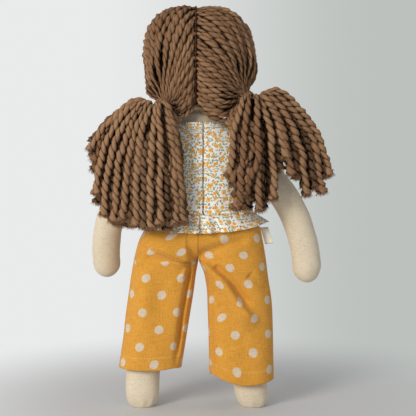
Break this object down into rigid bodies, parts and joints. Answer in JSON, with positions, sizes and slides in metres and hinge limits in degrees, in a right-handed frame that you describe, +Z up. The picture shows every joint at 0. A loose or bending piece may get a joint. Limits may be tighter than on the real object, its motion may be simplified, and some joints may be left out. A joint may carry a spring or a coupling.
{
  "type": "rag doll",
  "caption": "Stuffed cloth doll with yarn hair in two bunches, a sleeveless print blouse and wide dotted trousers, jointed at neck, shoulders and hips.",
  "frame": {"origin": "On the floor under the middle of the standing doll's whole breadth and depth; the doll's own middle plane is at X = 0.014.", "axes": "+Z up, from the soles to the crown. The doll faces -Y and its left hand is towards +X."},
  "size_m": [0.2579, 0.1062, 0.4287],
  "materials": {
    "natural_cotton": "plain-woven unbleached cotton with small brown flecks",
    "stuffing": "loose polyester fibre filling",
    "brown_yarn": "super-bulky two-ply yarn, matt and slightly fuzzy",
    "seam_thread": "cotton sewing thread",
    "brown_thread": "brown embroidery thread",
    "floral_cotton": null,
    "mustard_linen": "mustard linen blend with natural-coloured round dots",
    "waist_elastic": "woven elastic band",
    "closure_tape": "sewn-on hook-and-loop tape",
    "woven_label": "bare woven satin label with olive edge lines"
  },
  "bodies": {
    "torso": {"torso_cover": "natural_cotton", "torso_stuffing": "stuffing", "blouse_front": "floral_cotton", "blouse_back_left": "floral_cotton", "blouse_back_right": "floral_cotton", "closure_hook_tape": "closure_tape", "closure_loop_tape": "closure_tape", "frill_front": "floral_cotton", "frill_back_left": "floral_cotton", "frill_back_right": "floral_cotton", "trouser_seat": "mustard_linen", "waist_elastic": "waist_elastic", "side_label": "woven_label"},
    "neck": {"neck_seam": "seam_thread"},
    "head": {"head_cover": "natural_cotton", "head_stuffing": "stuffing", "mouth": "brown_thread", "parting_stitch": "brown_thread", "eye_left": "brown_thread", "eye_right": "brown_thread", "hair_left": "brown_yarn", "hair_right": "brown_yarn", "hair_tie_left": "brown_thread", "hair_tie_right": "brown_thread"},
    "bunch_left": {"bunch_left": "brown_yarn"},
    "bunch_right": {"bunch_right": "brown_yarn"},
    "shoulder_left": {"shoulder_seam_left": "seam_thread"},
    "shoulder_right": {"shoulder_seam_right": "seam_thread"},
    "arm_left": {"arm_cover_left": "natural_cotton", "arm_stuffing_left": "stuffing"},
    "arm_right": {"arm_cover_right": "natural_cotton", "arm_stuffing_right": "stuffing"},
    "leg_left": {"leg_cover_left": "natural_cotton", "leg_stuffing_left": "stuffing", "trouser_leg_left": "mustard_linen"},
    "leg_right": {"leg_cover_right": "natural_cotton", "leg_stuffing_right": "stuffing", "trouser_leg_right": "mustard_linen"}
  },
  "joints": [
    {"name": "neck_tilt", "type": "hinge", "parent": "torso", "child": "neck", "pos_m": [0.014, 0, 0.306], "axis": [0, 1, 0], "range_deg": [-10, 10], "stiffness_Nm_per_rad": 0.2},
    {"name": "head_nod", "type": "hinge", "parent": "neck", "child": "head", "pos_m": [0.014, 0, 0.306], "axis": [1, 0, 0], "range_deg": [0, 20], "stiffness_Nm_per_rad": 0.2},
    {"name": "bunch_swing_left", "type": "hinge", "parent": "head", "child": "bunch_left", "pos_m": [0.0554, 0.0371, 0.3141], "axis": [1, 0, 0], "range_deg": [0, 55]},
    {"name": "bunch_swing_right", "type": "hinge", "parent": "head", "child": "bunch_right", "pos_m": [-0.0434, 0.0261, 0.3225], "axis": [1, 0, 0], "range_deg": [0, 32]},
    {"name": "arm_swing_left", "type": "hinge", "parent": "torso", "child": "shoulder_left", "pos_m": [0.064, 0, 0.272], "axis": [-1, 0, 0], "range_deg": [-18, 100]},
    {"name": "arm_raise_left", "type": "hinge", "parent": "shoulder_left", "child": "arm_left", "pos_m": [0.064, 0, 0.272], "axis": [0, -1, 0], "range_deg": [0, 60]},
    {"name": "arm_swing_right", "type": "hinge", "parent": "torso", "child": "shoulder_right", "pos_m": [-0.036, 0, 0.272], "axis": [-1, 0, 0], "range_deg": [0, 110]},
    {"name": "arm_raise_right", "type": "hinge", "parent": "shoulder_right", "child": "arm_right", "pos_m": [-0.036, 0, 0.272], "axis": [0, 1, 0], "range_deg": [0, 60]},
    {"name": "hip_left", "type": "hinge", "parent": "torso", "child": "leg_left", "pos_m": [0.04785, 0, 0.16], "axis": [-1, 0, 0], "range_deg": [-20, 90]},
    {"name": "hip_right", "type": "hinge", "parent": "torso", "child": "leg_right", "pos_m": [-0.01985, 0, 0.16], "axis": [-1, 0, 0], "range_deg": [-20, 90]}
  ]
}
